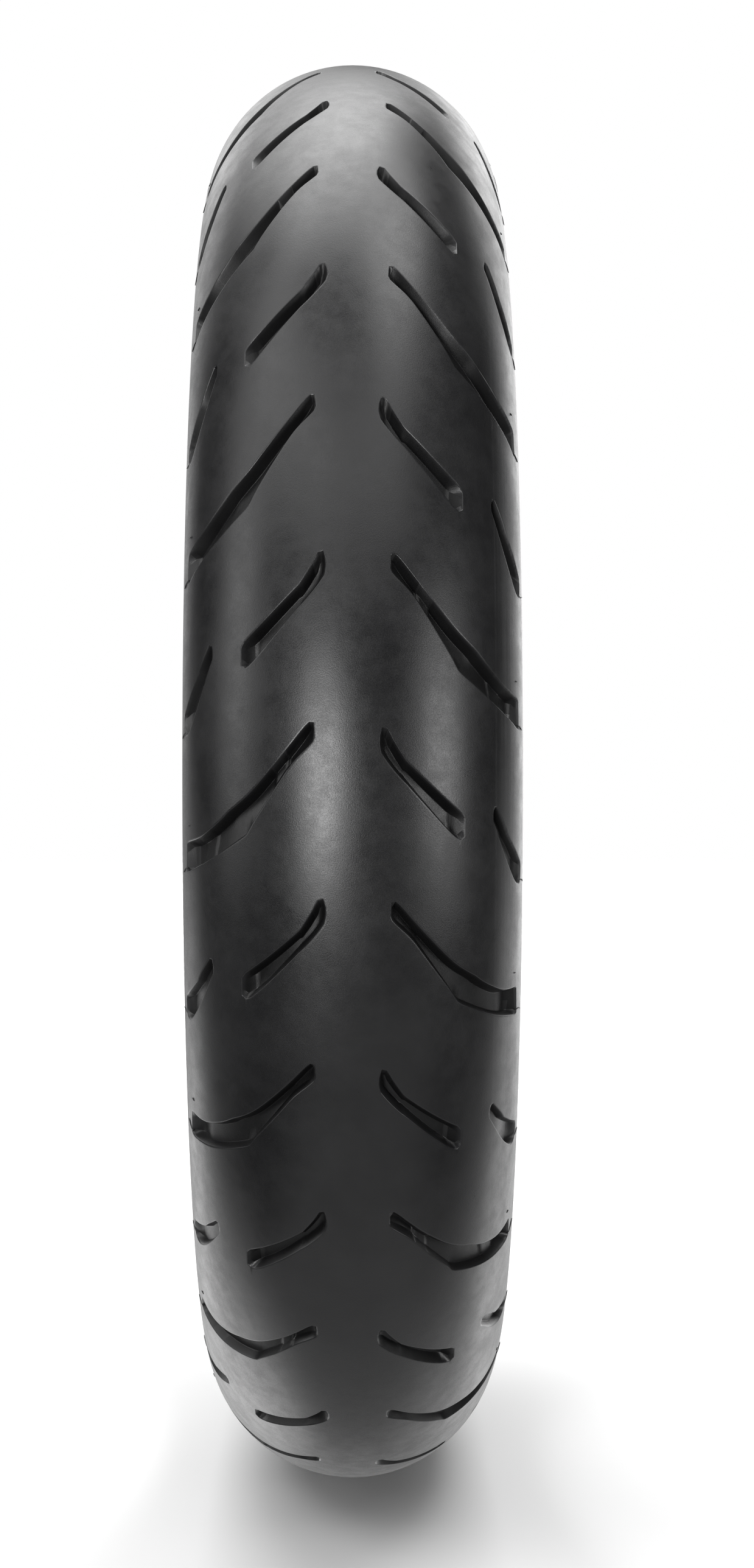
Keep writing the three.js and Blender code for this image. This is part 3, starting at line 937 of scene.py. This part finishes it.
def sidewall_angles():
    """Angles round the tyre, close together where the sidewall has fine shapes."""
    sector = 360 / SECTORS
    out = []
    for i in range(SECTORS):
        ribs = np.arange(RIB_START - RIB_PITCH / 2, RIB_END + RIB_PITCH, RIB_PITCH / 4)
        plain = list(np.arange(RIB_END + 1.6, sector + RIB_START - 1.0, 1.2))
        if i in ARROW_SECTORS:
            plain = [a for a in plain if abs(a - ARROW_AT + RIB_SLANT / 2) > 3.8]
            plain = sorted(plain + list(np.arange(-3.4, 3.41, 0.13) + ARROW_AT - RIB_SLANT / 2))
        out += [i * sector + a for a in list(ribs) + plain]
    return np.array(out)


def sidewalls(material):
    curve = spline(SIDEWALL_PROFILE, 0.15)
    fine = [BAND_LOW, BAND_HIGH, 236.0, 244.6]
    fine += [at + side * width / 2 for at, width, _ in RIDGES for side in (-1, 1)]
    # Rows a millimetre and a half apart, and closer at the edges of what stands out.
    radii = set(np.arange(228.0, 249.5, 1.5).round(2))
    radii |= {round(at + step, 2) for at in fine for step in (-0.3, 0.3)}
    radii |= {at for at, _, _ in RIDGES}
    radii = [curve[0, 1]] + [r for r in sorted(radii, reverse=True) if r > 227.9] + [curve[-1, 1]]
    outer = np.stack([np.interp(radii, curve[::-1, 1], curve[::-1, 0]), radii], -1)
    inner = [turn_up_at_radius(FLANGE_TOP + 0.3), (53.9, 240.1), (54.7, 245.5), (52.8, 251.2)]
    outline = np.vstack([outer, inner])
    shear = RIB_SLANT * (outline[:, 1] - BAND_LOW) / (BAND_HIGH - BAND_LOW)
    for side, name in ((-1, "sidewall_left"), (1, "sidewall_right")):
        vertices, faces = revolve(outline, sidewall_angles(), sidewall_relief, shear)
        if side < 0:
            vertices = vertices * (1, -1, 1)
            faces = [face[::-1] for face in faces]
        piece = smooth_mesh(name + "_smooth", vertices, faces, material, sharp=50)
        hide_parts(name)


# ---- liner

LINER_RIBS = 120
LINER_SLANT = 4.0  # degrees that the ribs turn over LINER_HALF_WIDTH
LINER_HALF_WIDTH = 50
LINER_RIB_HEIGHT, LINER_RIB_WIDTH = 0.3, 0.12  # the width as a share of a rib's pitch
LINER_LAP, LINER_LAP_HEIGHT = (205.0, 211.0), 0.35
LINER_RELIEF_FROM = 223.5  # nothing stands out below this radius
RIB_ROWS = (0.1, 0.43, 0.475, 0.5, 0.525, 0.57)  # where a rib's sections lie in its pitch


def liner_relief(angle, y, r):
    """Thin ribs from the curing bladder, and the step where the liner laps over its own start."""
    lean = LINER_SLANT * y / LINER_HALF_WIDTH
    place = (angle - lean) * LINER_RIBS / 360 % 1
    out = LINER_RIB_HEIGHT * ridge(place, 0.5, LINER_RIB_WIDTH)
    out = out + LINER_LAP_HEIGHT * block((angle - lean) % 360, *LINER_LAP, 0.4)
    return out * (r > LINER_RELIEF_FROM)


def inner_liner(material):
    right = filleted([RIGHT_BEAD[0], RIGHT_BEAD[1], LINER_END], 1.5, closed=False)
    path = np.vstack([mirrored(right), crown(*CARCASS, -CARCASS_REACH, CARCASS_REACH, 48), right])
    outside = offset_line(path, INSIDE_PLIES)
    inside_line = offset_line(path, INSIDE_PLIES + LINER)
    hidden_face = outside[np.linspace(0, len(outside) - 1, 16).round().astype(int)]
    outline = band(hidden_face, inside_line)
    inner_face = np.arange(len(outline)) >= len(hidden_face)
    shear = LINER_SLANT * outline[:, 0] / LINER_HALF_WIDTH
    pitch = 360 / LINER_RIBS
    around = [i * pitch + pitch * share for i in range(LINER_RIBS) for share in RIB_ROWS]
    keep = inner_face if signed_area(outline) > 0 else inner_face[::-1]
    vertices, faces = revolve(outline, around, lambda a, y, r: liner_relief(a, y, r) * keep, shear)
    piece = smooth_mesh("inner_liner_smooth", vertices, faces, material, sharp=60)
    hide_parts("inner_liner")


# ---- beads

CORE_WIRES = 5
CORE_LOW, CORE_HIGH = (33.75, 219.8), (38.75, 224.8)


def core_outline():
    """A square bundle of round wires, seen end on."""
    corners = [CORE_LOW, (CORE_HIGH[0], CORE_LOW[1]), CORE_HIGH, (CORE_LOW[0], CORE_HIGH[1])]
    out = []
    for a, b in zip(corners, corners[1:] + corners[:1]):
        a, b = np.array(a), np.array(b)
        along_side = (b - a) / np.linalg.norm(b - a)
        inward = np.array([-along_side[1], along_side[0]])
        wire = np.linalg.norm(b - a) / CORE_WIRES / 2
        for i in range(CORE_WIRES):
            centre = a + along_side * wire * (2 * i + 1) + inward * wire
            for turn in np.radians([-60, -20, 20, 60]):
                out.append(centre + wire * (along_side * math.sin(turn) - inward * math.cos(turn)))
    return out


CHAFER = 0.8
TOE, HEEL, SOLE = 31.25, 41.25, 217.3
CHAFER_OUTLINE = [(TOE, 221.5), (TOE, SOLE), (HEEL, SOLE), (HEEL, 224.0), (HEEL + CHAFER, 224.0)]
CHAFER_OUTLINE += [(HEEL + CHAFER, SOLE - CHAFER), (TOE - CHAFER, 215.9), (TOE - CHAFER, 221.5)]
STRIP_INSIDE = 42.15
STRIP_LINES = (219.4, 220.6, 221.8)
STRIP_OUTLINE = [turn_up_at_radius(FLANGE_TOP), turn_up_at_width(STRIP_INSIDE), (STRIP_INSIDE, 216.75)]
STRIP_OUTLINE += [(43.85, 216.85), (44.45, 217.5)]
for at in STRIP_LINES:
    STRIP_OUTLINE += [(44.45, at - 0.3), (44.22, at - 0.1), (44.22, at + 0.1), (44.45, at + 0.3)]
STRIP_OUTLINE += [(44.45, 226.3), (44.6, 227.0), (44.95, FLANGE_TOP)]
FILLER_OUTLINE = [(34.05, 225.1), (38.45, 225.1), (49.3, 238.5), (48.9, 237.3)]
CUSHION_OUTLINE = band(crown(*CAP_PLY[0], 64, 83, 12), crown(*INNER_BELT[1], 64, 83, 12))

# ---- pieces

tread_cap(tread_rubber, shaded_wall_rubber)
vent_hairs("vent_hairs_left", -1, LEFT_PHASE + LEFT_SHIFT, vent_rubber)
vent_hairs("vent_hairs_right", 1, RIGHT_PHASE, vent_rubber)
sidewalls(sidewall_rubber)
inner_liner(liner_rubber)
layer("tread_base", BASE, 76, base_rubber, "base_rubber")
layer("jointless_cap_ply", CAP_PLY, 62, cap_cords, "cap_ply_nylon")
layer("outer_belt", OUTER_BELT, 60, outer_belt_cords, "belt_aramid")
layer("inner_belt", INNER_BELT, 60, inner_belt_cords, "belt_aramid")
ply("outer_carcass_ply", OUTER_PLY_AT, carcass_cords, "carcass_rayon")
ply("inner_carcass_ply", INNER_PLY_AT, carcass_cords, "carcass_rayon")
ring_pair("shoulder_cushion", filleted(CUSHION_OUTLINE, 0.3), base_rubber, "base_rubber")
ring_pair("bead_filler", filleted(FILLER_OUTLINE, 0.3), base_rubber, "base_rubber")
ring_pair("bead_core", core_outline(), bead_wire, "bead_wire", sharp=180)
ring_pair("chafer", filleted(CHAFER_OUTLINE, 0.35), chafer_weave, "chafer_fabric", segments=256)
ring_pair("rim_strip", STRIP_OUTLINE, sidewall_rubber, "sidewall_rubber", segments=288)

# ---- surroundings


def falloff(value, half, soft):
    """1 where a value's size is below half, falling smoothly to 0 over twice soft."""
    return ramp_between(calc("ABSOLUTE", value), half - soft, half + soft, 1, 0)


# The studio, as soft boxes of light far away. Each has a bearing (0 at +X, 90 at +Y) with a half width
# and a soft edge, a height above the horizon with a half height and a soft edge, and a brightness.
SOFT_BOXES = [
    (-20, 11, 4, -1.5, 11, 6, 17.5),
    (61, 12, 6, 2.5, 11, 6, 7.7),
    (-84, 12, 9, 14, 18, 9, 3.1),
    (-60, 42, 10, 47, 11, 6, 2.6),
    (16, 32, 12, 46, 11, 8, 2.0),
    (-155, 52, 14, 73, 14, 7, 5.6),
    (90, 50, 16, 73, 14, 7, 4.6),
    (-25, 35, 16, 76, 10, 7, 0.4),
    (-166, 34, 8, 50, 12, 7, 3.0),
    (-150, 16, 7, -28.5, 22, 7, 2.1),
    (146, 20, 9, -19, 13, 7, 1.9),
    (160, 12, 7, 12, 18, 7, 3.7),
    (-162, 12, 7, 16, 16, 7, 1.4),
    (-160, 13, 7, 24, 7, 6, 1.1),
    (-128, 14, 8, -42, 12, 8, 0.4),
    (120, 16, 8, -42, 12, 8, 0.45),
    (150, 16, 8, -43, 9, 8, 0.9),
    (10, 60, 16, -42, 12, 7, 0.4),
    (180, 12, 8, -36, 16, 8, 0.6),
    (180, 8, 6, 0, 12, 8, 1.0),
    (0, 200, 1, -75, 20, 8, 0.4),
]
AMBIENT = 0.03
FLOOR_REACH = 8.0
FLOOR_COLOURS = ((0.86, 0.86, 0.86), (0.9, 0.9, 0.9))


def studio_world():
    world = bpy.data.worlds.new("studio")
    bpy.context.scene.world = world
    world.use_nodes = True
    tree = world.node_tree
    x, y, z = split(place_on(tree, "Generated"))
    bearing = calc("DEGREES", calc("ARCTAN2", y, x))
    height = calc("DEGREES", calc("ARCSINE", z))
    total = AMBIENT
    for at, half_width, soft_width, up, half_height, soft_height, strength in SOFT_BOXES:
        across = calc("WRAP", calc("SUBTRACT", bearing, at), 180.0, -180.0)
        wide = falloff(across, half_width, soft_width)
        high = falloff(calc("SUBTRACT", height, up), half_height, soft_height)
        total = calc("MULTIPLY_ADD", calc("MULTIPLY", wide, high), strength, total)
    # The backdrop itself is plain white.
    direct = tree.nodes.new("ShaderNodeLightPath").outputs["Is Camera Ray"]
    seen = fill(tree.nodes.new("ShaderNodeMix"), {"Factor": direct, "A": total, "B": 1.0})
    fill(tree.nodes["Background"], {"Strength": seen.outputs["Result"], "Color": (1, 1, 1, 1)})


studio_world()


def studio_floor():
    """A plain pale floor. It throws no light on the tyre and only takes its shadow."""
    material, tree, shader = new_material("floor")
    shader.inputs["Roughness"].default_value = 0.9
    shader.inputs["Specular IOR Level"].default_value = 0.1
    cloud = noise(place_on(tree, "Generated"), 3, 2, 0.5)
    fill(shader, {"Base Color": colour_ramp(cloud, (0, 1), FLOOR_COLOURS)})
    signs = ((-1, -1), (1, -1), (1, 1), (-1, 1))
    corners = [(x * FLOOR_REACH, y * FLOOR_REACH, -CROWN_RADIUS * MM) for x, y in signs]
    mesh = bpy.data.meshes.new("floor")
    mesh.from_pydata(corners, [], [(0, 1, 2, 3)])
    mesh.materials.append(material)
    floor = bpy.data.objects.new("floor", mesh)
    floor.visible_diffuse = False
    floor.visible_glossy = False
    floor.visible_shadow = False
    bpy.context.scene.collection.objects.link(floor)


studio_floor()

# The camera looks straight at the tread. Lens and sensor are in millimetres, the shifts are shares of
# the frame's longer side, and the rest is in metres.
CAMERA_DISTANCE = 1.230
LENS = 64.45
SENSOR_WIDTH = 36
SHIFT_X = 0.01553
SHIFT_Y = -0.00815
CLIP_START = 0.01

camera_data = bpy.data.cameras.new("camera")
camera_data.sensor_width = SENSOR_WIDTH
camera_data.lens = LENS
camera_data.shift_x = SHIFT_X
camera_data.shift_y = SHIFT_Y
camera_data.clip_start = CLIP_START
camera = bpy.data.objects.new("camera", camera_data)
camera.location = (CAMERA_DISTANCE, 0, 0)
camera.rotation_euler = (math.pi / 2, 0, math.pi / 2)
bpy.context.scene.collection.objects.link(camera)
bpy.context.scene.camera = camera
bpy.context.scene.view_settings.view_transform = "Standard"
